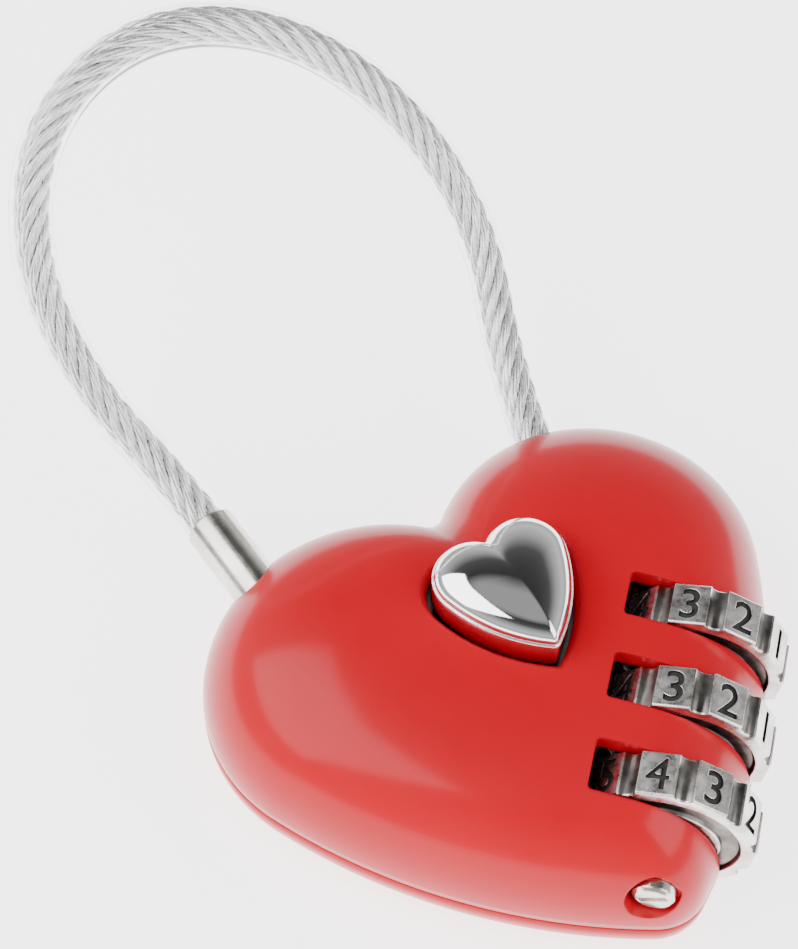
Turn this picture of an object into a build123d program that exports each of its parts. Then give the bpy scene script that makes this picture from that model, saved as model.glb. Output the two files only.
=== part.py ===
"""Heart-shaped combination padlock with a steel cable shackle, in millimetres.

The lock lies on its back: +Z points out of the front face, +Y towards the cable and +X to the right
as seen from the front. The origin is on the flat back face, on the heart's line of symmetry, level
with the centres of its two lobes.
"""

import os
from math import acos, atan2, cos, degrees, pi, radians, sin, sqrt, tan

from build123d import *

os.makedirs("parts", exist_ok=True)

# ---------------------------------------------------------------- driving dimensions
# case
case_width = 42.7
lobe_radius = 12.0
tip_depth = 25.9  # from the lobe centres down to where the flanks would meet
flank_radius = 46.0
tip_radius = 3.95
cleft_radius = 2.0
case_thickness = 13.1
seam_height = 3.9
back_edge_radius = 2.7
crown_centre_y = -7.9
crown_power = 4.0
floor_thickness = 1.4
shell_thickness = 1.35
cavity_scale = 0.925
rib_scale = 0.905

# heart button
button_width = 9.9
button_lobe_radius = 2.87
button_tip_depth = 7.35
button_flank_radius = 11.8
button_y = -0.9
button_rim_height = 14.5
button_dome = 1.05
button_travel = 1.8
button_clearance = 0.25

# dial wheels, on one axle along the right flank
wheel_pitch = 6.55
wheel_width = 3.2
wheel_corner_radius = 6.14
flat_distance = 6.02
flute_radius = 0.8
flute_centre = 6.55
digits_per_wheel = 10
first_digit_angle = 31.0
slot_width = 3.5
slot_reach = 5.6
axle_x, axle_y, axle_height = 6.54, -14.86, 7.3
axle_turn = 43.8  # from straight down the heart towards its left side

# code sleeves, one inside each wheel
sleeve_drum_radius = 2.5
sleeve_drum_start, sleeve_drum_end = -3.5, -1.75
spline_root, spline_tip, spline_width = 1.95, 2.45, 0.6
spline_start, spline_end = -1.55, -0.85
journal_radius, journal_end = 1.75, 1.5
running_clearance = 0.06
spline_clearance = 0.12
reset_travel = 0.9
shaft_radius = 1.08
shaft_head_radius = 1.43
shaft_inner_end, shaft_shoulder, shaft_outer_end = -14.0, 8.1, 12.6
gate_u, gate_z = -1.6, 0.05

# plug and cable
cable_height = 6.8
cable_radius = 1.6
rope_radius = 0.85
plug_radius = 1.85
plug_lean, fixed_lean = 4.4, 14.6  # outwards, in degrees
plug_mouth_x, plug_mouth_y = -13.3, 11.32
fixed_mouth_x, fixed_mouth_y = 11.04, 11.86
plug_outside, plug_inside = 5.0, 9.7
plug_travel = 10.0
groove_radius = 1.35
cable_in_plug = 3.0
crimp_radius, crimp_length, crimp_depth, crimp_socket = 2.1, 6.0, 5.0, 0.8

# locking bolt
bolt_y = 5.0
bolt_low, bolt_high = 5.4, 7.6
bolt_half_width = 1.3
nose_half_width = 0.6
nose_gap = 1.5  # from the plug's centre line to the nose
bolt_end_x = -3.6
leg_x = -5.4
leg_size = 1.3
leg_bottom = 7.5

# latch plate under the button
plate_bottom, plate_top = 9.95, 10.75
finger_width = 0.7
finger_u = -1.75
finger_bottom = 9.25
finger_offset = -3.05

screw_places = [(-14.5, -4.5), (-6.0, -14.0), (15.3, 3.8)]
screw_head_radius, screw_radius, screw_length = 1.7, 0.95, 7.0
boss_radius = 1.9

# ---------------------------------------------------------------- derived places
lobe_x = case_width / 2 - lobe_radius
v = Vector(-sin(radians(axle_turn)), -cos(radians(axle_turn)), 0)
u = Vector(cos(radians(axle_turn)), -sin(radians(axle_turn)), 0)
axle_centre = Vector(axle_x, axle_y, axle_height)
axle_plane = Plane(origin=axle_centre, x_dir=u, z_dir=v)
plug_mouth = Vector(plug_mouth_x, plug_mouth_y, cable_height)
plug_out = Vector(-sin(radians(plug_lean)), cos(radians(plug_lean)), 0)
fixed_mouth = Vector(fixed_mouth_x, fixed_mouth_y, cable_height)
fixed_out = Vector(sin(radians(fixed_lean)), cos(radians(fixed_lean)), 0)
plug_axis_x = plug_mouth_x - (bolt_y - plug_mouth_y) * tan(radians(plug_lean))


# ---------------------------------------------------------------- shared shapes
def heart(scale_by, half_x, lobe_r, tip, flank_r, tip_r, cleft_r, centre_y, centre_of_scale):
    """One heart: two lobe arcs, two flank arcs tangent to them, and a rounded tip and cleft."""
    # centre of the right flank's arc: inside-tangent to the lobe and through the pointed tip
    to_tip = Vector(-half_x, -tip)
    gap = to_tip.length
    along = ((flank_r - lobe_r) ** 2 - flank_r**2 + gap**2) / (2 * gap)
    across = sqrt((flank_r - lobe_r) ** 2 - along**2)
    unit = to_tip / gap
    centre = Vector(half_x, 0) + unit * along - Vector(-unit.Y, unit.X) * across
    cleft_angle = degrees(acos(-half_x / lobe_r))
    join_angle = degrees(atan2(-centre.Y, half_x - centre.X))
    tip_angle = degrees(atan2(-tip - centre.Y, -centre.X))

    def placed(x, y):
        full_y = y + centre_y
        return (x * scale_by, centre_of_scale + (full_y - centre_of_scale) * scale_by)

    with BuildSketch() as outline:
        with BuildLine():
            CenterArc(placed(half_x, 0), lobe_r * scale_by, cleft_angle, join_angle - cleft_angle)
            CenterArc(placed(centre.X, centre.Y), flank_r * scale_by, join_angle, tip_angle - join_angle)
            mirror(about=Plane.YZ)
        make_face()
        lowest, highest = outline.vertices().filter_by_position(Axis.X, -1e-4, 1e-4).sort_by(Axis.Y)
        fillet(lowest, tip_r * scale_by)
        fillet(highest, cleft_r * scale_by)
    return outline.sketch


def case_heart(scale_by):
    return heart(scale_by, lobe_x, lobe_radius, tip_depth, flank_radius, tip_radius, cleft_radius,
                 0, crown_centre_y)


def button_heart(scale_by=1.0):
    return heart(scale_by, button_width / 2 - button_lobe_radius, button_lobe_radius, button_tip_depth,
                 button_flank_radius, 0.5, 0.5, button_y, button_y - 2)


def crown(scale_by, height):
    """The domed half of the case from the seam upwards, which shrinks along a rounded profile."""
    with BuildPart() as dome:
        for angle in (0, 20, 38, 53, 66, 77, 86):
            with BuildSketch(Plane.XY.offset(seam_height + height * sin(radians(angle)))):
                add(case_heart(scale_by * cos(radians(angle)) ** (2 / crown_power)))
        loft()
    return dome.part


def along(start, direction, start_at=0.0):
    """A plane across a direction, start_at millimetres along it from a point."""
    return Plane(origin=start + direction * start_at, x_dir=(0, 0, 1), z_dir=direction)


def rod(start, direction, first, last, radius):
    """A cylinder along a direction, between two distances from a point."""
    with BuildPart() as cylinder:
        with BuildSketch(along(start, direction, first)):
            Circle(radius)
        extrude(amount=last - first)
    return cylinder.part


def axle_rod(first, last, radius):
    """A cylinder on the wheels' axle."""
    return rod(axle_centre, v, first, last, radius)


def block(centre_x, centre_y, size_x, size_y, low, high, turn=0.0):
    """An upright block between two heights."""
    with BuildPart() as upright:
        with BuildSketch(Plane.XY.offset(low)):
            with Locations((centre_x, centre_y)):
                Rectangle(size_x, size_y, rotation=turn)
        extrude(amount=high - low)
    return upright.part


def prism(outline, low, high):
    """An upright solid with a given outline, between two heights."""
    with BuildPart() as upright:
        with BuildSketch(Plane.XY.offset(low)):
            add(outline)
        extrude(amount=high - low)
    return upright.part


def on_axle(along_u, along_v):
    """The X and Y of a point given by its places across and along the axle."""
    place = axle_centre + u * along_u + v * along_v
    return place.X, place.Y


def coil(plane, radius, wire, length, turns):
    """A compression spring standing on a plane."""
    with BuildPart() as spring:
        with BuildLine():
            turns_line = Helix(length / turns, length, radius, center=plane.origin,
                               direction=plane.z_dir)
        with BuildSketch(Plane(origin=turns_line @ 0, z_dir=turns_line % 0)):
            Circle(wire / 2)
        sweep(is_frenet=True)
    return spring.part


def save(builder, name):
    builder.part.label = name
    export_step(builder.part, f"parts/{name}.step")


wheel_places = [wheel_pitch * step for step in (-1, 0, 1)]
wheel_angle = degrees(atan2(u.Y, u.X))

# ---------------------------------------------------------------- case
cavity_height = case_thickness - shell_thickness - seam_height
rib_limit = crown(rib_scale, cavity_height - 0.15) + prism(
    case_heart(rib_scale), floor_thickness - 0.2, seam_height
)
boss_limit = crown(0.98, cavity_height + 0.8) + prism(
    case_heart(cavity_scale - 0.02), floor_thickness + 0.02, seam_height
)
well_heart = button_heart(1 + 2 * button_clearance / button_width)
flank_reach = 15.0  # far enough across the axle to leave the case

with BuildPart() as screw_bosses:
    with Locations(*[(x, y, 0) for x, y in screw_places]):
        Cylinder(boss_radius, case_thickness, align=(Align.CENTER, Align.CENTER, Align.MIN))
    add(boss_limit, mode=Mode.INTERSECT)

with BuildPart() as front_shell:
    add(crown(1.0, case_thickness - seam_height))
    add(crown(cavity_scale, cavity_height), mode=Mode.SUBTRACT)
    add(screw_bosses.part)
    with Locations(*[(x, y, 0) for x, y in screw_places]):
        Cylinder(screw_radius + 0.05, screw_length + 1,
                 align=(Align.CENTER, Align.CENTER, Align.MIN), mode=Mode.SUBTRACT)
    # flared heart-shaped well around the button
    add(prism(well_heart, plate_top, case_thickness + 1), mode=Mode.SUBTRACT)
    with BuildSketch(Plane.XY.offset(case_thickness - 1.0)):
        add(well_heart)
    extrude(amount=2, taper=-35, mode=Mode.SUBTRACT)
    # room behind the cleft for the button's flange and the latch plate
    add(prism(button_heart(1.2), plate_bottom - button_travel - 0.2, plate_top + 0.75),
        mode=Mode.SUBTRACT)
    add(block(leg_x - 0.2, bolt_y + 0.2, 3.3, 1.6, 8, plate_top + 0.2), mode=Mode.SUBTRACT)
    # wheel slots, from the front face down over the right flank
    for place in wheel_places:
        x, y = on_axle((flank_reach - slot_reach) / 2, place)
        add(block(x, y, flank_reach + slot_reach, slot_width, seam_height - 1, 20, wheel_angle),
            mode=Mode.SUBTRACT)
    # bores for the plug, the cable's fixed end and the shaft's head
    add(rod(plug_mouth, plug_out, -6, 8, plug_radius + 0.1), mode=Mode.SUBTRACT)
    add(rod(fixed_mouth, fixed_out, -crimp_depth, 8, cable_radius + 0.15), mode=Mode.SUBTRACT)
    # room for the code sleeves, then the bore that the shaft's head shows through
    add(axle_rod(-13.2, 5, sleeve_drum_radius + 0.15), mode=Mode.SUBTRACT)
    add(axle_rod(8, 20, shaft_head_radius + 0.05), mode=Mode.SUBTRACT)
    add(axle_rod(shaft_outer_end - 0.9, 20, shaft_head_radius + 0.35), mode=Mode.SUBTRACT)
save(front_shell, "front_shell")

with BuildPart() as ribs:
    # cradles for the plug and for the crimped cable end
    plug_block = plug_mouth - plug_out * 6.8
    fixed_block = fixed_mouth - fixed_out * (crimp_depth + crimp_length / 2 - 0.6)
    low = floor_thickness - 0.1
    add(block(plug_block.X, plug_block.Y, 5.6, 12.0, low, 9, plug_lean))
    add(block(fixed_block.X, fixed_block.Y, 6.0, crimp_length + 2.2, low, 9, -fixed_lean))
    add(rod(plug_mouth, plug_out, -plug_inside - 2.4, 8, plug_radius + 0.1), mode=Mode.SUBTRACT)
    add(rod(fixed_mouth, fixed_out, -crimp_depth - crimp_length, -crimp_depth, crimp_radius + 0.05),
        mode=Mode.SUBTRACT)
    add(rod(fixed_mouth, fixed_out, -crimp_depth, 8, cable_radius + 0.15), mode=Mode.SUBTRACT)
    # the bolt's passage through the plug cradle, its guides and bed, and its spring's post
    add(block(-8, bolt_y, 10, 2 * bolt_half_width + 0.2, bolt_low - 0.1, 12), mode=Mode.SUBTRACT)
    for side in (-1, 1):
        add(block(-6.4, bolt_y + side * (bolt_half_width + 0.65), 5, 1.1, low, bolt_high))
    add(block(-6.4, bolt_y, 5, 2 * bolt_half_width + 0.2, low, bolt_low - 0.1))
    add(block(-0.1, bolt_y - 0.6, 1.2, 2.6, low, 8))
    # open-topped saddle for the shaft's inner end
    x, y = on_axle(0, -13.3)
    add(block(x, y, 3.6, 1.0, low, axle_height + 0.4, wheel_angle))
    add(axle_rod(-20, -12, shaft_radius + running_clearance), mode=Mode.SUBTRACT)
    add(block(x, y, 2 * (shaft_radius + running_clearance), 3, axle_height, 12, wheel_angle),
        mode=Mode.SUBTRACT)
    # post inside the button's spring, and two clips that hold the detent spring's foot
    with Locations((0, button_y - 2.6, low)):
        Cylinder(1.5, 2, align=(Align.CENTER, Align.CENTER, Align.MIN))
    for place in (-wheel_pitch / 2, wheel_pitch / 2):
        x, y = on_axle(-7.1, place)
        add(block(x, y, 1.5, 1.2, low, 3.0, wheel_angle))
        add(block(x, y, 0.35, 2.0, low + 0.2, 4.0, wheel_angle), mode=Mode.SUBTRACT)
    add(rib_limit, mode=Mode.INTERSECT)

with BuildPart() as back_shell:
    add(prism(case_heart(1.0), 0, seam_height))
    fillet(back_shell.faces().sort_by(Axis.Z)[0].edges(), back_edge_radius)
    add(prism(case_heart(cavity_scale), floor_thickness, seam_height + 1), mode=Mode.SUBTRACT)
    # step in the rim that shows as the seam
    add(prism(case_heart(1.1) - case_heart(0.985), seam_height - 0.2, seam_height + 1),
        mode=Mode.SUBTRACT)
    add(ribs.part)
    # pockets that the wheels dip into, open at the right flank
    for place in wheel_places:
        x, y = on_axle((flank_reach - 4.2) / 2, place)
        add(block(x, y, flank_reach + 4.2, slot_width, axle_height - wheel_corner_radius - 0.25, 12,
                  wheel_angle), mode=Mode.SUBTRACT)
    with Locations(*[(x, y, 0) for x, y in screw_places]):
        Cylinder(screw_radius + 0.1, 3, align=(Align.CENTER, Align.CENTER, Align.MIN),
                 mode=Mode.SUBTRACT)
        Cone(screw_head_radius + 0.05, screw_radius + 0.1, 0.85,
             align=(Align.CENTER, Align.CENTER, Align.MIN), mode=Mode.SUBTRACT)
save(back_shell, "back_shell")

with BuildPart() as case_screws:
    with Locations(*[(x, y, 0.05) for x, y in screw_places]):
        Cone(screw_head_radius, screw_radius, 0.8, align=(Align.CENTER, Align.CENTER, Align.MIN))
        Cylinder(screw_radius, screw_length, align=(Align.CENTER, Align.CENTER, Align.MIN))
        Box(2.2, 0.4, 0.8, mode=Mode.SUBTRACT)
        Box(0.4, 2.2, 0.8, mode=Mode.SUBTRACT)
save(case_screws, "case_screws")

# ---------------------------------------------------------------- button and latch plate
with BuildPart() as heart_button:
    for angle in (0, 22, 42, 60, 74):
        with BuildSketch(Plane.XY.offset(button_rim_height + button_dome * sin(radians(angle)))):
            add(button_heart(cos(radians(angle)) ** 0.8))
    loft()
    add(prism(button_heart(1.13), plate_top, plate_top + 0.6))
    add(prism(button_heart(), plate_top, button_rim_height))
save(heart_button, "heart_button")

with BuildPart() as latch_plate:
    with BuildSketch(Plane.XY.offset(plate_bottom)):
        with Locations((0, button_y - 2.2)):
            Circle(4.4)
        with Locations(on_axle(-8.4, -3.05)):
            Rectangle(2.0, 14.2, rotation=wheel_angle)
        for place in wheel_places:
            with Locations(on_axle((finger_u - 8.5) / 2, place + finger_offset)):
                Rectangle(finger_u + 8.5, finger_width, rotation=wheel_angle)
        with BuildLine():
            Polyline((-1, -2.5), (-3.4, -4), (leg_x - leg_size - 0.2, bolt_y + 0.2),
                     (leg_x - leg_size - 0.2, bolt_y + 0.8), (leg_x + 0.4, bolt_y + 0.8), (-1, -0.5),
                     (-1, -2.5))
        make_face()
    extrude(amount=plate_top - plate_bottom)
    # finger tips that drop into the code sleeves' gates
    for place in wheel_places:
        x, y = on_axle(finger_u - 0.75, place + finger_offset)
        add(block(x, y, 1.5, finger_width, finger_bottom, plate_top, wheel_angle))
    # leg whose lower right side is cut at 45 degrees to wedge the bolt aside
    with BuildSketch(Plane.XZ.offset(-bolt_y - 0.7)):
        with BuildLine():
            Polyline((leg_x - leg_size, plate_bottom), (leg_x - leg_size, leg_bottom),
                     (leg_x - leg_size + 0.1, leg_bottom), (leg_x, leg_bottom + leg_size - 0.1),
                     (leg_x, plate_bottom), (leg_x - leg_size, plate_bottom))
        make_face()
    extrude(amount=1.4)
save(latch_plate, "latch_plate")

with BuildPart() as locking_bolt:
    nose_tip = plug_axis_x + nose_gap
    with BuildSketch(Plane.XY.offset(bolt_low)):
        with BuildLine():
            Polyline((nose_tip, bolt_y - nose_half_width), (nose_tip, bolt_y + nose_half_width),
                     (nose_tip + 1.3, bolt_y + nose_half_width),
                     (nose_tip + 1.3, bolt_y + bolt_half_width), (bolt_end_x, bolt_y + bolt_half_width),
                     (bolt_end_x, bolt_y - bolt_half_width), (nose_tip + 1.3, bolt_y - bolt_half_width),
                     (nose_tip + 1.3, bolt_y - nose_half_width), (nose_tip, bolt_y - nose_half_width))
        make_face()
    extrude(amount=bolt_high - bolt_low)
    # window with a 45-degree face that the latch plate's leg slides down
    wedge_gap = 0.06
    face_x = leg_x - leg_size + 0.1 + wedge_gap
    window_depth = bolt_high - bolt_low - 0.35
    with BuildSketch(Plane.XZ.offset(-bolt_y - 0.85)):
        with BuildLine():
            high_x = face_x + bolt_high - leg_bottom
            low_z = bolt_high - window_depth
            left_x = leg_x - leg_size - button_travel - 0.15
            Polyline((left_x, bolt_high + 1), (left_x, low_z), (face_x + low_z - leg_bottom, low_z),
                     (high_x + 1, bolt_high + 1), (left_x, bolt_high + 1))
        make_face()
    extrude(amount=1.7, mode=Mode.SUBTRACT)
    # blind seat for the bolt's spring
    add(rod(Vector(bolt_end_x, bolt_y, 6.5), Vector(1, 0, 0), -0.8, 1, 1.06), mode=Mode.SUBTRACT)
save(locking_bolt, "locking_bolt")

# ---------------------------------------------------------------- dial wheels and code sleeves
step_angle = 360 / digits_per_wheel
for number, place in enumerate(wheel_places, start=1):
    middle = axle_plane.offset(place)
    with BuildPart() as dial_wheel:
        with BuildSketch(middle.offset(-wheel_width / 2)):
            # ten flats for the digits
            RegularPolygon(flat_distance, digits_per_wheel, major_radius=False,
                           rotation=first_digit_angle + step_angle / 2)
        extrude(amount=wheel_width)
        with BuildSketch(middle.offset(-wheel_width / 2)):
            with PolarLocations(flute_centre, digits_per_wheel,
                                start_angle=first_digit_angle + step_angle / 2):
                Circle(flute_radius)
        extrude(amount=wheel_width, mode=Mode.SUBTRACT)
        # bore that runs on the sleeve, and the splined mouth that the sleeve drives
        with BuildSketch(middle.offset(-wheel_width / 2)):
            Circle(journal_radius + running_clearance)
        extrude(amount=wheel_width, mode=Mode.SUBTRACT)
        with BuildSketch(middle.offset(-wheel_width / 2)):
            Circle(spline_root + spline_clearance)
            with PolarLocations((spline_tip + spline_clearance) / 2, digits_per_wheel):
                Rectangle(spline_tip + spline_clearance, spline_width + 0.2)
        extrude(amount=wheel_width / 2 + spline_end + 0.05, mode=Mode.SUBTRACT)
        # shallow dish in both side faces
        for face_at, way in ((-wheel_width / 2, 1), (wheel_width / 2, -1)):
            with BuildSketch(middle.offset(face_at)):
                Circle(5.0)
                Circle(3.7, mode=Mode.SUBTRACT)
            extrude(amount=0.3 * way, mode=Mode.SUBTRACT)
    save(dial_wheel, f"dial_wheel_{number}")

    with BuildPart() as code_sleeve:
        with BuildSketch(middle.offset(sleeve_drum_start)):
            Circle(sleeve_drum_radius)
        extrude(amount=sleeve_drum_end - sleeve_drum_start)
        with BuildSketch(middle.offset(sleeve_drum_end)):
            Circle(spline_root)
        extrude(amount=spline_end - sleeve_drum_end)
        with BuildSketch(middle.offset(spline_start)):
            with PolarLocations(spline_tip / 2, digits_per_wheel):
                Rectangle(spline_tip, spline_width)
        extrude(amount=spline_end - spline_start)
        with BuildSketch(middle.offset(spline_end)):
            Circle(journal_radius)
        extrude(amount=journal_end - spline_end)
        with BuildSketch(middle.offset(sleeve_drum_start)):
            Circle(shaft_radius + running_clearance)
        extrude(amount=journal_end - sleeve_drum_start, mode=Mode.SUBTRACT)
        # the gate, and a second notch a quarter turn away, between two digit positions
        with BuildSketch(middle.offset(sleeve_drum_start)):
            with Locations((gate_u - 2, gate_z + 2), (gate_z + 2, 2 - gate_u)):
                Rectangle(4, 4)
        extrude(amount=sleeve_drum_end - sleeve_drum_start, mode=Mode.SUBTRACT)
    save(code_sleeve, f"code_sleeve_{number}")

with BuildPart() as reset_shaft:
    add(axle_rod(shaft_inner_end, shaft_shoulder, shaft_radius))
    add(axle_rod(shaft_shoulder, shaft_outer_end, shaft_head_radius))
    chamfer(reset_shaft.faces().sort_by(Axis(axle_centre, v))[-1].edges(), 0.25)
    # driver slot in the end that shows
    with BuildSketch(axle_plane.offset(shaft_outer_end)):
        Rectangle(2.0, 0.5, rotation=30)
    extrude(amount=-0.35, mode=Mode.SUBTRACT)
save(reset_shaft, "reset_shaft")

for number, place in enumerate(wheel_places[:2], start=1):
    with BuildPart() as spacer:
        first = place + journal_end + 0.03
        last = place + wheel_pitch + sleeve_drum_start - 0.03
        add(axle_rod(first, last, 1.7))
        add(axle_rod(first, last, shaft_radius + running_clearance), mode=Mode.SUBTRACT)
    save(spacer, f"sleeve_spacer_{number}")

clip_end = wheel_places[0] + sleeve_drum_start - 0.04
with BuildPart() as shaft_clip:
    add(axle_rod(clip_end - 0.5, clip_end, 2.1))
    add(axle_rod(clip_end - 0.5, clip_end, shaft_radius + 0.02), mode=Mode.SUBTRACT)
    with BuildSketch(axle_plane.offset(clip_end - 0.5)):
        with Locations((0, -2)):
            Rectangle(1.2, 4)
    extrude(amount=0.5, mode=Mode.SUBTRACT)
save(shaft_clip, "shaft_clip")

# ---------------------------------------------------------------- plug, fixed end and cable
with BuildPart() as cable_plug:
    add(rod(plug_mouth, plug_out, -plug_inside, plug_outside, plug_radius))
    ends = cable_plug.faces().sort_by(Axis(plug_mouth, plug_out))
    chamfer(ends[-1].edges(), 0.15)
    chamfer(ends[0].edges(), 0.55)
    groove_middle = (bolt_y - plug_mouth_y) / cos(radians(plug_lean))
    groove_first = groove_middle - nose_half_width - 0.35 * plug_travel / button_travel - 0.25
    groove_last = groove_middle + nose_half_width + 0.2
    with BuildSketch(along(plug_mouth, plug_out, groove_first)):
        Circle(plug_radius + 1)
        Circle(groove_radius, mode=Mode.SUBTRACT)
    extrude(amount=groove_last - groove_first, mode=Mode.SUBTRACT)
    add(rod(plug_mouth, plug_out, plug_outside - cable_in_plug, plug_outside + 1, cable_radius + 0.02),
        mode=Mode.SUBTRACT)
save(cable_plug, "cable_plug")

with BuildPart() as end_crimp:
    add(rod(fixed_mouth, fixed_out, -crimp_depth - crimp_length, -crimp_depth, crimp_radius))
    add(rod(fixed_mouth, fixed_out, -crimp_depth - crimp_socket, 0, cable_radius + 0.02),
        mode=Mode.SUBTRACT)
save(end_crimp, "end_crimp")

# the cable's route, from the bottom of the crimp round to the bottom of the plug's bore
route = [
    fixed_mouth - fixed_out * (crimp_depth + crimp_socket),
    fixed_mouth + fixed_out * 5.2,
    Vector(15.8, 27.0, 12.6),
    Vector(12.6, 34.3, 21.2),
    Vector(5.0, 39.3, 28.4),
    Vector(-5.0, 41.3, 31.2),
    Vector(-14.0, 39.5, 27.8),
    Vector(-18.1, 34.5, 19.8),
    Vector(-17.1, 28.4, 11.4),
    plug_mouth + plug_out * 10,
    plug_mouth + plug_out * (plug_outside - cable_in_plug),
]
runs = [(b - a).length for a, b in zip(route, route[1:])]
turns = [(b - a).get_angle(c - b) for a, b, c in zip(route, route[1:], route[2:])]
bend_radii = [0.45 * min(pair) / tan(radians(turn / 2)) for pair, turn in zip(zip(runs, runs[1:]), turns)]
print("cable bend radii:", [round(r, 1) for r in bend_radii])

for name, outer, inner in (("wire_rope", rope_radius, 0), ("clear_coat", cable_radius, rope_radius)):
    with BuildPart() as cable:
        with BuildLine():
            path = FilletPolyline(*route, radius=bend_radii)
        with BuildSketch(Plane(origin=path @ 0, z_dir=path % 0)):
            Circle(outer)
            if inner:
                Circle(inner, mode=Mode.SUBTRACT)
        sweep()
    section = pi * (outer**2 - inner**2)
    print(name, "length", round(path.length, 1), "volume / (section x length)",
          round(cable.part.volume / section / path.length, 4))
    save(cable, name)

# ---------------------------------------------------------------- springs
with BuildPart() as button_spring:
    add(coil(Plane((0, button_y - 2.6, floor_thickness + 0.3)), 2.1, 0.45,
             plate_bottom - floor_thickness - 0.6, 5))
save(button_spring, "button_spring")

with BuildPart() as bolt_spring:
    add(coil(along(Vector(bolt_end_x, bolt_y, 6.5), Vector(1, 0, 0), -0.6), 0.85, 0.25, 3.5, 5))
save(bolt_spring, "bolt_spring")

with BuildPart() as ejector_spring:
    add(coil(along(plug_mouth, plug_out, -plug_inside - 2.2), 1.3, 0.35, 2.0, 3))
save(ejector_spring, "ejector_spring")

with BuildPart() as reset_spring:
    add(coil(axle_plane.offset(-12.6), 1.5, 0.3, 1.85, 3))
save(reset_spring, "reset_spring")

# leaf spring with one finger to each wheel, its bead resting in a flute
with BuildPart() as detent_spring:
    bead_angle = radians(first_digit_angle + 4.5 * step_angle)
    bead_u, bead_z = 6.28 * cos(bead_angle), 6.28 * sin(bead_angle)
    foot_z = floor_thickness - axle_height + 0.2
    for place in wheel_places:
        with BuildSketch(axle_plane.offset(place - 1.1)):
            with BuildLine():
                Polyline((-7.2, foot_z), (-7.2, bead_z - 2), (bead_u - 0.5, bead_z - 0.4),
                         (bead_u - 0.5, bead_z + 0.4), (-7.0, bead_z + 1.2), (-6.8, bead_z + 1.2),
                         (bead_u - 0.2, bead_z + 0.4), (bead_u - 0.2, bead_z - 0.4),
                         (-6.95, bead_z - 2), (-6.95, foot_z), (-7.2, foot_z))
            make_face()
            with Locations((bead_u, bead_z)):
                Circle(0.45)
        extrude(amount=2.2)
    with BuildSketch(axle_plane.offset(-wheel_pitch - 1.1)):
        with Locations((-7.075, foot_z + 0.7)):
            Rectangle(0.25, 1.4)
    extrude(amount=2 * wheel_pitch + 2.2)
save(detent_spring, "detent_spring")
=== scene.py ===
"""Heart-shaped combination padlock with a cable shackle: the look of the lock, built round its CAD frame."""

from math import atan2, cos, pi, radians, sin, sqrt

import bmesh
import bpy
import numpy as np
from mathutils import Matrix, Vector
from mathutils.bvhtree import BVHTree


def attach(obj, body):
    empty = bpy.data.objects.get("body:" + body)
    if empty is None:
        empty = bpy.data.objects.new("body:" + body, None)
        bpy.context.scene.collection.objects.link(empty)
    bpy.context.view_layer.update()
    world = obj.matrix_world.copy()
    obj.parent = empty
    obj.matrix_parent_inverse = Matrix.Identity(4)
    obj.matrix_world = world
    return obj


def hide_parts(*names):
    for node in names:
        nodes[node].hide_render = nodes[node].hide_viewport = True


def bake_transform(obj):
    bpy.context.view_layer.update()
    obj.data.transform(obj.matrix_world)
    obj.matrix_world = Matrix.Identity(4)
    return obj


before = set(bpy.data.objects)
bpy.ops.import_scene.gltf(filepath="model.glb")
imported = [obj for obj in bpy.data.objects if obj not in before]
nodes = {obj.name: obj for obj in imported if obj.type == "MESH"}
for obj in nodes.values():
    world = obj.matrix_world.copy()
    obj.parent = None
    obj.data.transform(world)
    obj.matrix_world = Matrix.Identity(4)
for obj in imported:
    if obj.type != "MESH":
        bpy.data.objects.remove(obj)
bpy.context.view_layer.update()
MM = 0.001

# ---------------------------------------------------------------- dimensions, as in the CAD model, in mm
LOBE_X, LOBE_R, TIP_DEPTH, FLANK_R, TIP_R, CLEFT_R = 9.35, 12.0, 25.9, 46.0, 3.95, 2.0
THICKNESS, SEAM, CROWN_Y, CROWN_POWER = 13.1, 3.9, -7.9, 4.0
TOP_WALL, BACK_WALL, CAVITY_SCALE, BACK_EDGE_R = 1.35, 1.4, 0.925, 2.7
BUTTON = dict(half_x=2.08, lobe_r=2.87, tip=7.35, flank_r=11.8, tip_r=0.5, cleft_r=0.5)
BUTTON_Y, BUTTON_RIM, BUTTON_DOME, PLATE_TOP = -0.9, 14.5, 1.05, 10.75
AXLE = Vector((6.54, -14.86, 7.3))
AXLE_TURN = radians(43.8)
V = Vector((-sin(AXLE_TURN), -cos(AXLE_TURN), 0))  # along the wheels' axle, towards the heart's tip
U = Vector((cos(AXLE_TURN), -sin(AXLE_TURN), 0))  # across it, out of the right flank
PITCH, WHEEL_W, FLAT, FIRST_DIGIT = 6.55, 3.2, 6.02, 31.0
CABLE_R = 1.6
PLUG_LEAN, FIXED_LEAN = radians(4.4), radians(14.6)
PLUG_MOUTH, PLUG_OUT = Vector((-13.3, 11.32, 6.8)), Vector((-sin(PLUG_LEAN), cos(PLUG_LEAN), 0))
FIXED_MOUTH, FIXED_OUT = Vector((11.04, 11.86, 6.8)), Vector((sin(FIXED_LEAN), cos(FIXED_LEAN), 0))

# ---------------------------------------------------------------- camera
camera_data = bpy.data.cameras.new("camera")
camera_data.sensor_fit = "VERTICAL"
camera_data.sensor_height = 24
camera_data.lens = 52.9
camera_data.clip_start = 0.01
camera = bpy.data.objects.new("camera", camera_data)
camera_right = Vector((0.86373, -0.50368, 0.01635))
camera_up = Vector((0.40711, 0.7165, 0.56646))
turned = Matrix((camera_right, camera_up, camera_right.cross(camera_up))).transposed()
camera.matrix_world = Matrix.Translation(Vector((-45.51, -61.43, 134.64)) * MM) @ turned.to_4x4()
bpy.context.scene.collection.objects.link(camera)
bpy.context.scene.camera = camera


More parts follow.
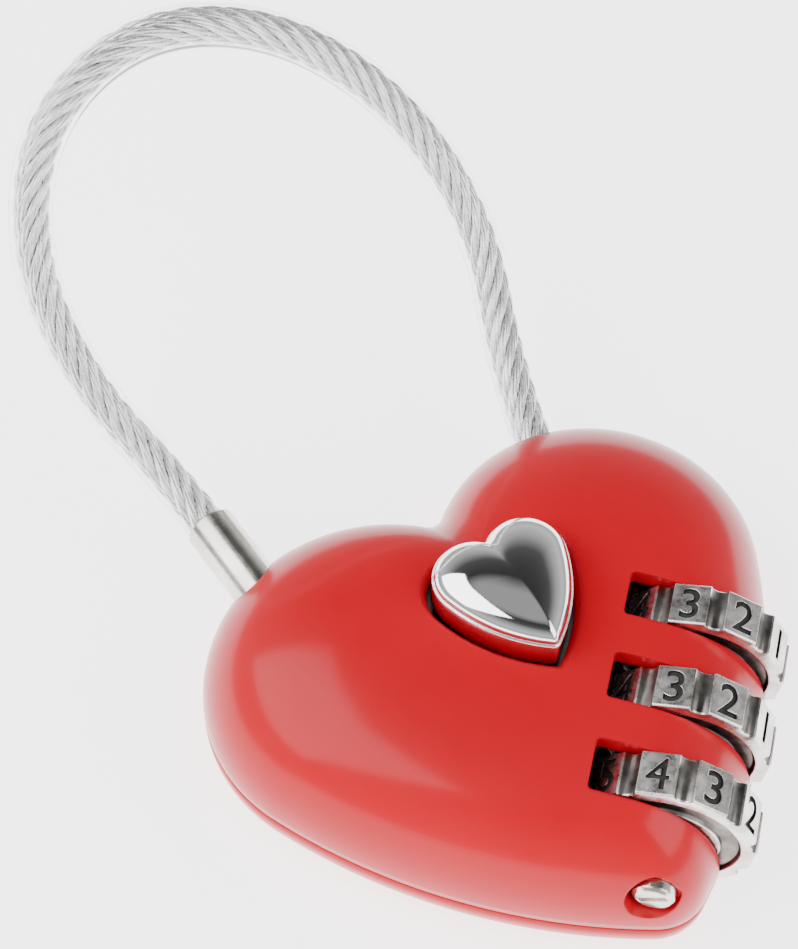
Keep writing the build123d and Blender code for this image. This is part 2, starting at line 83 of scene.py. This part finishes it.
# ---------------------------------------------------------------- materials
def new_material(name, color=(0.8, 0.8, 0.8), metallic=0.0, roughness=0.4, **sockets):
    """A principled material; returns the material, its node tree and its shader."""
    m = bpy.data.materials.new(name)
    m.use_nodes = True
    shader = m.node_tree.nodes["Principled BSDF"]
    shader.inputs["Base Color"].default_value = (*color, 1)
    shader.inputs["Metallic"].default_value = metallic
    shader.inputs["Roughness"].default_value = roughness
    for socket, value in sockets.items():
        shader.inputs[socket.replace("_", " ")].default_value = value
    return m, m.node_tree, shader


def noise(tree, scale, detail=3.0, roughness=0.5, stretch=None):
    """A noise texture in object space, optionally stretched along an axis."""
    coords = tree.nodes.new("ShaderNodeTexCoord")
    texture = tree.nodes.new("ShaderNodeTexNoise")
    texture.inputs["Scale"].default_value = scale
    texture.inputs["Detail"].default_value = detail
    texture.inputs["Roughness"].default_value = roughness
    if stretch:
        mapping = tree.nodes.new("ShaderNodeMapping")
        mapping.inputs["Scale"].default_value = stretch
        tree.links.new(coords.outputs["Object"], mapping.inputs["Vector"])
        tree.links.new(mapping.outputs["Vector"], texture.inputs["Vector"])
    else:
        tree.links.new(coords.outputs["Object"], texture.inputs["Vector"])
    return texture.outputs["Fac"]


def ramp(tree, factor, *stops):
    """A colour ramp with (position, colour) stops."""
    r = tree.nodes.new("ShaderNodeValToRGB")
    while len(r.color_ramp.elements) < len(stops):
        r.color_ramp.elements.new(0.5)
    for element, (position, color) in zip(r.color_ramp.elements, stops):
        element.position = position
        element.color = (*color, 1) if hasattr(color, "__len__") else (color, color, color, 1)
    tree.links.new(factor, r.inputs["Fac"])
    return r.outputs["Color"]


def bump(tree, shader, height, distance, strength=0.5, round_edges=0.0):
    """Bumps a shader's normal, over edges rounded in the shading by round_edges metres."""
    b = tree.nodes.new("ShaderNodeBump")
    b.inputs["Strength"].default_value = strength
    b.inputs["Distance"].default_value = distance
    tree.links.new(height, b.inputs["Height"])
    if round_edges:
        edge = tree.nodes.new("ShaderNodeBevel")
        edge.samples = 6
        edge.inputs["Radius"].default_value = round_edges
        tree.links.new(edge.outputs["Normal"], b.inputs["Normal"])
    tree.links.new(b.outputs["Normal"], shader.inputs["Normal"])


def metal(name, dark, light, rough=(0.2, 0.35), grain=900.0, depth=0.00002, edges=0.00012, stretch=None):
    """Metal whose colour, gloss and surface vary a little from place to place."""
    m, tree, shader = new_material(name, light, 1.0)
    blotches = noise(tree, grain * 0.35, 4)
    fine = noise(tree, grain, 6, 0.6, stretch)
    tree.links.new(ramp(tree, blotches, (0.3, dark), (0.65, light)), shader.inputs["Base Color"])
    tree.links.new(ramp(tree, fine, (0.3, rough[0]), (0.7, rough[1])), shader.inputs["Roughness"])
    bump(tree, shader, fine, depth, 0.35, edges)
    return m


def red_paint():
    m, tree, shader = new_material("red_paint", (0.5, 0.0, 0.01), 0.0, 0.3, Coat_Weight=0.5,
                                   Coat_Roughness=0.15, Coat_IOR=1.32, Specular_IOR_Level=0.1)
    peel = noise(tree, 260, 2)
    tree.links.new(ramp(tree, noise(tree, 60, 3), (0.35, (0.49, 0.0, 0.009)), (0.7, (0.54, 0.001, 0.013))),
                   shader.inputs["Base Color"])
    tree.links.new(ramp(tree, noise(tree, 500, 4), (0.3, 0.28), (0.75, 0.36)), shader.inputs["Roughness"])
    bump(tree, shader, peel, 0.00002, 0.12, 0.00028)
    return m


red = red_paint()
chrome = metal("chrome", (0.80, 0.80, 0.81), (0.90, 0.90, 0.91), (0.03, 0.07), 500, 0.000004, 0.00015)
nickel = metal("wheel_nickel", (0.42, 0.40, 0.38), (0.80, 0.78, 0.75), (0.2, 0.4), 1500, 0.00006, 0.0001)
dark_nickel = metal("wheel_recess", (0.05, 0.046, 0.043), (0.26, 0.245, 0.23), (0.3, 0.5), 1500, 0.00006,
                    0.0001)
warm_nickel = metal("plug_nickel", (0.52, 0.49, 0.44), (0.72, 0.69, 0.63), (0.16, 0.3), 900, 0.00002, 0.00015)
steel = metal("steel", (0.38, 0.38, 0.39), (0.62, 0.62, 0.63), (0.25, 0.4), 1100)
brass = metal("brass", (0.55, 0.38, 0.14), (0.80, 0.60, 0.28), (0.2, 0.38), 1000)
strand = metal("strand", (0.72, 0.72, 0.73), (0.95, 0.95, 0.96), (0.22, 0.34), 2500, 0.00001, 0.0)
strand.node_tree.nodes["Principled BSDF"].inputs["Metallic"].default_value = 0.85

digit_black, tree, shader = new_material("digit_black", (0.012, 0.012, 0.012), 0.0, 0.55)
tree.links.new(ramp(tree, noise(tree, 2000, 4), (0.3, 0.006), (0.8, 0.03)), shader.inputs["Base Color"])
bump(tree, shader, noise(tree, 2500, 3), 0.00003, 0.4)

clear, tree, shader = new_material("clear_vinyl", (0.97, 0.98, 0.985), 0.0, 0.03, Transmission_Weight=1.0,
                                   IOR=1.4)
tree.links.new(ramp(tree, noise(tree, 300, 3), (0.3, 0.02), (0.8, 0.07)), shader.inputs["Roughness"])
bump(tree, shader, noise(tree, 220, 2), 0.00006, 0.25)

floor_paint, tree, shader = new_material("floor", (0.86, 0.86, 0.86), 0.0, 0.9, Emission_Color=(1, 1, 1, 1),
                                         Emission_Strength=2.8)
tree.links.new(ramp(tree, noise(tree, 40, 2), (0.3, (0.90, 0.90, 0.90)), (0.7, (0.93, 0.93, 0.93))),
               shader.inputs["Base Color"])


# ---------------------------------------------------------------- mesh helpers
def new_object(name, mesh, body=None, material=None):
    o = bpy.data.objects.new(name, mesh)
    bpy.context.scene.collection.objects.link(o)
    if material:
        mesh.materials.append(material)
    if body:
        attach(o, body)
    return o


def grid_mesh(name, rows, close_rows=False, cap_start=False, cap_end=False, smooth=True):
    """A skin over rings of points in mm; every ring closes on itself."""
    mesh = bpy.data.meshes.new(name)
    count = len(rows[0])
    points = [tuple(p * MM) for row in rows for p in row]
    faces = []
    steps = len(rows) if close_rows else len(rows) - 1
    for i in range(steps):
        a, b = i * count, ((i + 1) % len(rows)) * count
        faces += [(a + j, a + (j + 1) % count, b + (j + 1) % count, b + j) for j in range(count)]
    if cap_start:
        faces.append(tuple(reversed(range(count))))
    if cap_end:
        faces.append(tuple(range((len(rows) - 1) * count, len(rows) * count)))
    mesh.from_pydata(points, [], faces)
    work = bmesh.new()
    work.from_mesh(mesh)
    bmesh.ops.recalc_face_normals(work, faces=work.faces)
    for face in work.faces:
        face.smooth = smooth
    work.to_mesh(mesh)
    work.free()
    return mesh


# ---------------------------------------------------------------- cable
route_points = [
    FIXED_MOUTH - FIXED_OUT * 5.8,
    FIXED_MOUTH + FIXED_OUT * 5.2,
    Vector((15.8, 27.0, 12.6)),
    Vector((12.6, 34.3, 21.2)),
    Vector((5.0, 39.3, 28.4)),
    Vector((-4.9, 41.3, 31.2)),
    Vector((-14.0, 39.5, 27.8)),
    Vector((-18.1, 34.5, 19.8)),
    Vector((-17.1, 28.4, 11.4)),
    PLUG_MOUTH + PLUG_OUT * 10,
    PLUG_MOUTH + PLUG_OUT * 2,
]
curve = bpy.data.curves.new("route", "CURVE")
curve.dimensions = "3D"
spline = curve.splines.new("NURBS")
spline.points.add(len(route_points) - 1)
for point, place in zip(spline.points, route_points):
    point.co = (*(place * MM), 1)
spline.order_u = 3
spline.use_endpoint_u = True
spline.resolution_u = 24
route_object = bpy.data.objects.new("route", curve)
route_line = bpy.data.meshes.new_from_object(route_object)
line = np.array([v.co for v in route_line.vertices]) / MM
bpy.data.objects.remove(route_object)


def frames_along(points):
    """Even steps along a line with a frame carried along it without twisting."""
    gaps = np.linalg.norm(np.diff(points, axis=0), axis=1)
    keep = np.r_[True, gaps > 1e-6]
    points = points[keep]
    at = np.r_[0, np.cumsum(np.linalg.norm(np.diff(points, axis=0), axis=1))]
    steps = int(at[-1] / 0.25)
    even = np.linspace(0, at[-1], steps + 1)
    centres = np.stack([np.interp(even, at, points[:, k]) for k in range(3)], 1)
    for _ in range(12):
        centres[1:-1] = (centres[:-2] + 2 * centres[1:-1] + centres[2:]) / 4
    tangents = np.gradient(centres, axis=0)
    tangents /= np.linalg.norm(tangents, axis=1)[:, None]
    side = np.cross(tangents[0], (0, 0, 1.0))
    sides = []
    for t in tangents:
        side = side - t * np.dot(side, t)
        side /= np.linalg.norm(side)
        sides.append(side)
    sides = np.array(sides)
    return even, centres, sides, np.cross(tangents, sides)


along_cable, centres, side_a, side_b = frames_along(line)


def tube(radius, first=0, last=None, sides=32, offset=None):
    """Rings of points round the cable's line, or round a line beside it."""
    picked = range(first, last if last is not None else len(centres))
    rows = []
    for i in picked:
        middle = centres[i] if offset is None else centres[i] + offset[i]
        rows.append([Vector(middle + radius * (cos(a) * side_a[i] + sin(a) * side_b[i]))
                     for a in (2 * pi * j / sides for j in range(sides))])
    return rows


coat = new_object("cable_coat", grid_mesh("cable_coat", tube(CABLE_R), cap_start=True, cap_end=True),
                  material=clear)
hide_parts("clear_coat")

# seven strands, six laid round one, each of six wires laid the other way
wire_meshes = []
STRAND_R, STRAND_LAY, WIRE_LAY = 0.62, 11.0, 6.0
for s in range(7):
    turn = 2 * pi * along_cable / STRAND_LAY + 2 * pi * s / 6
    orbit = 0 if s == 6 else STRAND_R
    middle = orbit * (np.cos(turn)[:, None] * side_a + np.sin(turn)[:, None] * side_b)
    for w in range(6):
        spin = -2 * pi * along_cable / WIRE_LAY + 2 * pi * w / 6 + turn
        ring = 0.2 * (np.cos(spin)[:, None] * side_a + np.sin(spin)[:, None] * side_b)
        wire_meshes.append(grid_mesh("wire", tube(0.125, sides=6, offset=middle + ring), cap_start=True,
                                     cap_end=True))
joined = bmesh.new()
for mesh in wire_meshes:
    joined.from_mesh(mesh)
    bpy.data.meshes.remove(mesh)
rope_mesh = bpy.data.meshes.new("cable_strands")
joined.to_mesh(rope_mesh)
joined.free()
rope = new_object("cable_strands", rope_mesh, material=strand)
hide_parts("wire_rope")
for piece in (coat, rope):
    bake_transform(piece)

# ---------------------------------------------------------------- hearts
def heart_ring(half_x, lobe_r, tip, flank_r, tip_r, cleft_r, inset=0.0, step=0.35):
    """Points round a heart, clockwise from its cleft, seen from above. All its arcs are drawn inset."""
    to_tip = Vector((-half_x, -tip))
    gap = to_tip.length
    near = ((flank_r - lobe_r) ** 2 - flank_r**2 + gap**2) / (2 * gap)
    across = sqrt((flank_r - lobe_r) ** 2 - near**2)
    unit = to_tip / gap
    flank = Vector((half_x, 0)) + unit * near - Vector((-unit.y, unit.x)) * across
    cleft_y = sqrt((lobe_r + cleft_r) ** 2 - half_x**2)
    tip_y = flank.y - sqrt((flank_r - tip_r) ** 2 - flank.x**2)
    cleft_turn = atan2(cleft_y, -half_x)
    join_turn = atan2(-flank.y, half_x - flank.x)
    tip_turn = atan2(tip_y - flank.y, -flank.x)
    arcs = [
        ((0, cleft_y), cleft_r + inset, -pi / 2, cleft_turn - pi, cleft_r),
        ((half_x, 0), lobe_r - inset, cleft_turn, join_turn, lobe_r),
        (tuple(flank), flank_r - inset, join_turn, tip_turn, flank_r),
        ((0, tip_y), tip_r - inset, tip_turn, -pi / 2, tip_r),
    ]
    half = []
    for (x, y), r, first, last, nominal in arcs:
        count = max(6, int(abs(last - first) * nominal / step))
        for i in range(count):
            a = first + (last - first) * i / count
            half.append((x + r * cos(a), y + r * sin(a)))
    half.append((0, tip_y - tip_r + inset))
    other = [(-x, y) for x, y in reversed(half[1:-1])]
    return half + other


CASE = dict(half_x=LOBE_X, lobe_r=LOBE_R, tip=TIP_DEPTH, flank_r=FLANK_R, tip_r=TIP_R, cleft_r=CLEFT_R)


def raised(outline, height, scale=1.0, about_y=0.0, up=0.0):
    """A ring at a height, scaled about a point on the heart's axis."""
    return [Vector((x * scale, about_y + (y + up - about_y) * scale, height)) for x, y in outline]


def stack(name, rings, smooth=True):
    return grid_mesh(name, rings, cap_start=True, cap_end=True, smooth=smooth)


def crown_rings(scale, height, low=None):
    """Rings of the case's dome, from the seam to its top."""
    outline = heart_ring(**CASE)
    rings = [] if low is None else [raised(outline, low, scale, CROWN_Y)]
    turns = [radians(t) for t in (0, 3, 6, 10, 15, 20, 25, 30, 35, 40, 44, 48, 52, 56, 59, 62, 65, 68,
                                  70.5, 73, 75, 77, 79, 81, 83, 84.5, 86, 87.2, 88.2, 89, 89.5, 89.8)]
    for t in turns:
        rings.append(raised(outline, SEAM + height * sin(t), scale * cos(t) ** (2 / CROWN_POWER), CROWN_Y))
    return rings


def boolean(base, cutters, operation="DIFFERENCE"):
    """The mesh of base less the cutters; both base and cutters are used up."""
    for cutter in cutters:
        change = base.modifiers.new("cut", "BOOLEAN")
        change.operation, change.solver, change.object = operation, "EXACT", cutter
    bpy.context.view_layer.update()
    result = bpy.data.meshes.new_from_object(base.evaluated_get(bpy.context.evaluated_depsgraph_get()))
    for o in [base, *cutters]:
        bpy.data.objects.remove(o)
    return result


def box_cutter(centre, half_u, half_v, low, high, corner=0.0, turn=-AXLE_TURN):
    """An upright box turned in plan, its upright edges rounded."""
    across, forward = Vector((cos(turn), sin(turn), 0)), Vector((-sin(turn), cos(turn), 0))
    outline = []
    for k, (sx, sy) in enumerate(((1, 1), (-1, 1), (-1, -1), (1, -1))):
        for i in range(7 if corner else 1):
            a = pi / 2 * (k + (i / 6 if corner else 0))
            outline.append(Vector(centre) + across * (sx * (half_u - corner) + corner * cos(a) * bool(corner))
                           + forward * (sy * (half_v - corner) + corner * sin(a) * bool(corner)))
    rows = [[Vector((p.x, p.y, z)) for p in outline] for z in (low, high)]
    return new_object("cutter", stack("cutter", rows, False))


def rod_rings(start, direction, profile, sides=64):
    """Rings round a line, from (distance, radius) pairs."""
    direction = direction.normalized()
    a = direction.orthogonal().normalized()
    b = direction.cross(a)
    return [[start + direction * d + r * (a * cos(t) + b * sin(t))
             for t in (2 * pi * j / sides for j in range(sides))] for d, r in profile]


def rod_cutter(start, direction, profile, sides=64):
    return new_object("cutter", stack("cutter", rod_rings(start, direction, profile, sides)))


def true_normals(mesh, surface, sharp=30):
    """Gives faces that lie on a smooth surface its own normals; the others meet at sharp edges."""
    tree = BVHTree.FromPolygons([v.co for v in surface.vertices], [p.vertices for p in surface.polygons])
    corners = [[surface.vertices[i].normal for i in p.vertices] for p in surface.polygons]
    places = [[surface.vertices[i].co for i in p.vertices] for p in surface.polygons]
    mesh.set_sharp_from_angle(angle=radians(sharp))
    normals = [(0, 0, 0)] * len(mesh.loops)
    for p in mesh.polygons:
        p.use_smooth = True
        hit, normal, index, distance = tree.find_nearest(p.center)
        if distance > 4e-6 or normal.dot(p.normal) < 0.9:
            continue
        for k in p.loop_indices:
            co = mesh.vertices[mesh.loops[k].vertex_index].co
            hit, normal, index, distance = tree.find_nearest(co)
            weights = [1 / ((co - q).length + 1e-7) ** 2 for q in places[index]]
            blended = sum((n * w for n, w in zip(corners[index], weights)), Vector())
            normals[k] = tuple(blended.normalized())
    mesh.normals_split_custom_set(normals)


wheel_places = (-PITCH, 0, PITCH)


def on_axle(along_u, along_v):
    return AXLE + U * along_u + V * along_v


# ---------------------------------------------------------------- case
dome_mesh = stack("dome", crown_rings(1.0, THICKNESS - SEAM))
shell = new_object("shell", stack("shell", crown_rings(1.0, THICKNESS - SEAM)))
cavity = crown_rings(CAVITY_SCALE, THICKNESS - TOP_WALL - SEAM, SEAM - 1)
cutters = [new_object("cutter", stack("cutter", cavity))]
well = heart_ring(**BUTTON)
well_scale = 1.055
cutters.append(new_object("cutter", stack("cutter", [
    raised(well, z, s, BUTTON_Y - 2, BUTTON_Y) for z, s in
    ((9, well_scale), (THICKNESS - 0.9, well_scale), (THICKNESS - 0.45, well_scale + 0.035),
     (THICKNESS - 0.15, well_scale + 0.09), (THICKNESS, well_scale + 0.135),
     (THICKNESS + 1, well_scale + 0.4))])))
for place in wheel_places:
    cutters.append(box_cutter(on_axle(4.7, place), 10.3, 1.75, SEAM - 1, 20, 0.3))
cutters.append(rod_cutter(PLUG_MOUTH, PLUG_OUT, [(-6, 1.95), (8, 1.95)]))
cutters.append(rod_cutter(FIXED_MOUTH, FIXED_OUT, [(-5, 1.75), (8, 1.75)]))
cutters.append(rod_cutter(AXLE, V, [(8, 1.48), (11.7, 1.48), (11.7, 1.78), (20, 1.78)]))
cutters.append(rod_cutter(AXLE, V, [(-13.2, 2.66), (5, 2.66)]))  # room for the sleeves
shell_mesh = boolean(shell, cutters)
true_normals(shell_mesh, dome_mesh)
bpy.data.meshes.remove(dome_mesh)
shell_mesh.name = "case_front"
shell_mesh.materials.clear()
case_front = new_object("case_front", shell_mesh, "case", red)
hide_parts("front_shell")


def back_rings():
    rings = []
    for i in range(13):
        a = pi / 2 * i / 12
        inset = BACK_EDGE_R * (1 - sin(a)) + 0.001
        rings.append(raised(heart_ring(**CASE, inset=inset), BACK_EDGE_R * (1 - cos(a))))
    rings.append(raised(heart_ring(**CASE, inset=0.001), SEAM - 0.28))
    rings.append(raised(heart_ring(**CASE, inset=0.10), SEAM - 0.2))
    rings.append(raised(heart_ring(**CASE, inset=0.30), SEAM - 0.2))
    rings.append(raised(heart_ring(**CASE, inset=0.30), SEAM - 0.02))
    return rings


smooth_back = stack("smooth_back", back_rings())
back = new_object("back", stack("back", back_rings()))
cutters = [new_object("cutter", stack("cutter", [raised(heart_ring(**CASE), z, CAVITY_SCALE, CROWN_Y)
                                                 for z in (BACK_WALL, SEAM + 1)]))]
for place in wheel_places:
    cutters.append(box_cutter(on_axle(5.4, place), 9.6, 1.75, 0.91, 12, 0.3))
for x, y in ((-14.5, -4.5), (-6.0, -14.0), (15.3, 3.8)):
    cutters.append(rod_cutter(Vector((x, y, -1)), Vector((0, 0, 1)),
                              [(0, 1.75), (1.0, 1.75), (1.85, 1.05), (3.5, 1.05)]))
back_mesh = boolean(back, cutters)
true_normals(back_mesh, smooth_back)
bpy.data.meshes.remove(smooth_back)
back_mesh.materials.clear()
case_back = new_object("case_back", back_mesh, "case", red)
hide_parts("back_shell")

# ---------------------------------------------------------------- button
button_outline = heart_ring(**BUTTON, step=0.12)
rings = [raised(button_outline, z, 1.0, BUTTON_Y - 2, BUTTON_Y) for z in (PLATE_TOP, 12.0, 13.2, 14.0, 14.3)]
for inset, z in ((0.02, BUTTON_RIM - 0.1), (0.07, BUTTON_RIM - 0.03), (0.14, BUTTON_RIM)):
    rings.append(raised(heart_ring(**BUTTON, inset=inset, step=0.12), z, 1.0, BUTTON_Y, BUTTON_Y))
base_ring = heart_ring(**BUTTON, inset=0.14, step=0.12)
DOME_RISE = 1.65  # the polished dome stands higher than the solid's
for t in (4, 8, 13, 18, 24, 30, 36, 42, 48, 54, 60, 65, 70, 75, 79, 82, 85, 87, 88.5, 89.5):
    t = radians(t)
    rings.append(raised(base_ring, BUTTON_RIM + DOME_RISE * BUTTON_DOME * sin(t), cos(t) ** 0.8,
                        BUTTON_Y - 2, BUTTON_Y))
button = new_object("heart_cap", stack("heart_cap", rings), "button", chrome)
button.data.set_sharp_from_angle(angle=radians(40))
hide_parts("heart_button")

# ---------------------------------------------------------------- dial wheels
def wheel_outline(steps=6):
    """(radius, angle) pairs round a wheel: ten flats with a round flute between each two."""
    flute_at, flute_r, half = 6.55, 0.8, pi / 10
    cx, cy = flute_at * cos(half), flute_at * sin(half)
    edge = cy - sqrt(flute_r**2 - (FLAT - cx) ** 2)
    sweep = []
    start = atan2(edge - cy, FLAT - cx)
    mirror_start = 2 * (half + pi) - start
    for i in range(1, 2 * steps):
        a = start - (start % (2 * pi) - mirror_start % (2 * pi)) * i / (2 * steps)
        sweep.append((cx + flute_r * cos(a), cy + flute_r * sin(a)))
    one = [(FLAT, edge * i / 4) for i in range(-4, 5)] + sweep
    ring = []
    for k in range(10):
        turn = radians(FIRST_DIGIT + 36 * k)
        ring += [(sqrt(x * x + y * y), atan2(y, x) + turn) for x, y in one]
    return ring


def wheel_mesh(place, name):
    outline = wheel_outline()
    half = WHEEL_W / 2

    def ring(at, radius=None, inset=0.0):
        return [AXLE + V * (place + at) + (U * cos(a) + Vector((0, 0, 1)) * sin(a)) * (radius or r - inset)
                for r, a in outline]

    side = [(half, 1.81), (half, 3.68), (half - 0.06, 3.74), (half - 0.3, 3.8), (half - 0.3, 4.9),
            (half - 0.06, 5.05), (half, 5.12)]
    rings = [ring(-at, r) for at, r in side]
    rings += [ring(-half, inset=0.2), ring(-half + 0.04, inset=0.07), ring(-half + 0.14), ring(0),
              ring(half - 0.14), ring(half - 0.04, inset=0.07), ring(half, inset=0.2)]
    rings += [ring(at, r) for at, r in reversed(side)]
    return grid_mesh(name, rings, close_rows=True)


def digits_cutter(place, first):
    """The ten engraved digits of a wheel, as one mesh that stands through its flats."""
    joined = bmesh.new()
    for k in range(10):
        text = bpy.data.curves.new("digit", "FONT")
        text.body = str((first + k) % 10)
        text.size = 3.25
        text.align_x, text.align_y = "CENTER", "CENTER"
        text.extrude = 0.25
        text.offset = 0.01 if text.body == "4" else 0.045
        text.resolution_u = 4
        holder = bpy.data.objects.new("digit", text)
        bpy.context.scene.collection.objects.link(holder)
        bpy.context.view_layer.update()
        mesh = bpy.data.meshes.new_from_object(holder.evaluated_get(bpy.context.evaluated_depsgraph_get()))
        xs = [v.co.x for v in mesh.vertices]
        ys = [v.co.y for v in mesh.vertices]
        mesh.transform(Matrix.Translation((-(min(xs) + max(xs)) / 2, -(min(ys) + max(ys)) / 2, 0)))
        a = radians(FIRST_DIGIT + 36 * k)
        out = U * cos(a) + Vector((0, 0, 1)) * sin(a)
        up = -V
        axes = Matrix((up.cross(out), up, out)).transposed().to_4x4()
        mesh.transform(Matrix.Translation(AXLE + V * place + out * (FLAT + 0.06)) @ axes)
        mesh.transform(Matrix.Scale(MM, 4))
        bpy.data.objects.remove(holder)
        joined.from_mesh(mesh)
        bpy.data.meshes.remove(mesh)
    mesh = bpy.data.meshes.new("digits")
    bmesh.ops.remove_doubles(joined, verts=joined.verts, dist=1e-7)
    bmesh.ops.recalc_face_normals(joined, faces=joined.faces)
    joined.to_mesh(mesh)
    joined.free()
    return new_object("digits", mesh, material=digit_black)


# one wheel is engraved at the last place; the other two are copies of it, shifted and turned one digit on
last_place = wheel_places[2]
blank = new_object("blank", wheel_mesh(last_place, "blank"), material=nickel)
digits = digits_cutter(last_place, 2)
change = blank.modifiers.new("cut", "BOOLEAN")
change.operation, change.solver, change.object = "DIFFERENCE", "MANIFOLD", digits
change.material_mode = "TRANSFER"
bpy.context.view_layer.update()
cut = bpy.data.meshes.new_from_object(blank.evaluated_get(bpy.context.evaluated_depsgraph_get()))
if len(cut.polygons) <= len(blank.data.polygons):
    raise RuntimeError("the digits were not engraved")
bpy.data.objects.remove(blank)
bpy.data.objects.remove(digits)
cut.materials.append(dark_nickel)
recess = len(cut.materials) - 1
for p in cut.polygons:
    p.use_smooth = True
    spoke = p.center / MM - AXLE
    spoke -= V * spoke.dot(V)
    level = max(spoke.normalized().dot(U * cos(a) + Vector((0, 0, 1)) * sin(a))
                for a in (radians(FIRST_DIGIT + 36 * k) for k in range(10))) * spoke.length
    facing_side = abs(p.normal.dot(V)) > 0.5
    if p.material_index == 0 and (3.72 < spoke.length < 5.04 if facing_side else level < FLAT - 0.12):
        p.material_index = recess
cut.set_sharp_from_angle(angle=radians(32))
axle_at = Matrix.Translation(AXLE * MM)
one_on = Matrix.Rotation(radians(36), 4, U.cross(Vector((0, 0, 1))))
for number, (place, turns) in enumerate(zip(wheel_places, (1, 1, 0)), start=1):
    mesh = cut.copy()
    mesh.transform(Matrix.Translation(V * (place - last_place) * MM) @ axle_at
                   @ (one_on if turns else Matrix.Identity(4)) @ axle_at.inverted())
    wheel = new_object(f"digit_wheel_{number}", mesh, f"wheel_{number}")
    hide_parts(f"dial_wheel_{number}")

# ---------------------------------------------------------------- materials of the CAD nodes
finishes = {
    "front_shell": red, "back_shell": red, "heart_button": chrome, "cable_plug": warm_nickel,
    "reset_shaft": warm_nickel, "case_screws": steel, "dial_wheel_1": nickel, "dial_wheel_2": nickel,
    "dial_wheel_3": nickel, "code_sleeve_1": brass, "code_sleeve_2": brass, "code_sleeve_3": brass,
    "sleeve_spacer_1": brass, "sleeve_spacer_2": brass,
}
for name, node in nodes.items():
    node.data.materials.clear()
    node.data.materials.append(finishes.get(name, steel))

# ---------------------------------------------------------------- floor and light
mesh = bpy.data.meshes.new("floor")
mesh.from_pydata([(-1.5, -1.5, 0), (1.5, -1.5, 0), (1.5, 1.5, 0), (-1.5, 1.5, 0)], [], [(0, 1, 2, 3)])
floor = new_object("floor", mesh, material=floor_paint)

world = bpy.data.worlds.new("world")
world.use_nodes = True
sky = world.node_tree
sky_coords = sky.nodes.new("ShaderNodeTexCoord")
sky_axes = sky.nodes.new("ShaderNodeSeparateXYZ")
sky.links.new(sky_coords.outputs["Generated"], sky_axes.inputs["Vector"])
sky.links.new(ramp(sky, sky_axes.outputs["Z"], (0.0, 0.6), (0.3, 0.95), (0.55, 0.55), (0.72, 0.12),
                   (0.86, 0.06), (0.95, 0.5)), sky.nodes["Background"].inputs["Color"])
sky.nodes["Background"].inputs["Strength"].default_value = 0.8
bpy.context.scene.world = world


def soft_box(name, place, aim, width, height, power):
    """A rectangular lamp in mm, aimed at a point."""
    lamp = bpy.data.lights.new(name, "AREA")
    lamp.shape = "RECTANGLE"
    lamp.size, lamp.size_y = width * MM, height * MM
    lamp.energy = power
    o = bpy.data.objects.new(name, lamp)
    o.location = Vector(place) * MM
    o.rotation_euler = (Vector(aim) - Vector(place)).to_track_quat("-Z", "Y").to_euler()
    bpy.context.scene.collection.objects.link(o)


soft_box("key", (-260, 120, 300), (0, 0, 8), 480, 340, 2.9)
soft_box("fill", (150, -260, 240), (0, 0, 8), 340, 260, 1.2)
